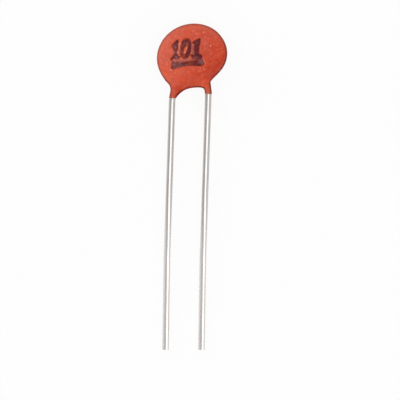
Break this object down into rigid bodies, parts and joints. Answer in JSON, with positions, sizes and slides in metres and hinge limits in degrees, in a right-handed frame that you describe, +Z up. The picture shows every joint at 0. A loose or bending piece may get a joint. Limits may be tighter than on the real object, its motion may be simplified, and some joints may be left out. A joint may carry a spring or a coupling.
{
  "type": "ceramic disc capacitor",
  "caption": "Small round dipped ceramic disc capacitor with two long straight radial wire leads, lying flat on its back, for through-hole circuits.",
  "frame": {"origin": "on the floor plane, below the middle of the part's overall footprint", "axes": "the part lies on its back: +Z up through the marked face, +Y from the lead tips to the coated disc, +X towards the right-hand lead"},
  "size_m": [0.005, 0.0231, 0.002],
  "materials": {
    "phenolic_coating": "matt orange-red dipped phenolic resin with a fine grain and a few pin holes, darker and browner on the necks",
    "dielectric": "unglazed buff titanate ceramic",
    "fired_silver": "matt fired silver",
    "solder": "satin grey solder",
    "tinned_wire": "bright tinned copper-clad steel wire with fine lengthwise drawing lines",
    "marking_ink": "thin dark stamped ink, ragged and partly worn through"
  },
  "bodies": {
    "root": {"coating": "phenolic_coating", "ceramic_disc": "dielectric", "electrode_front": "fired_silver", "electrode_back": "fired_silver", "solder_front": "solder", "solder_back": "solder", "lead_left": "tinned_wire", "lead_right": "tinned_wire"}
  },
  "joints": []
}
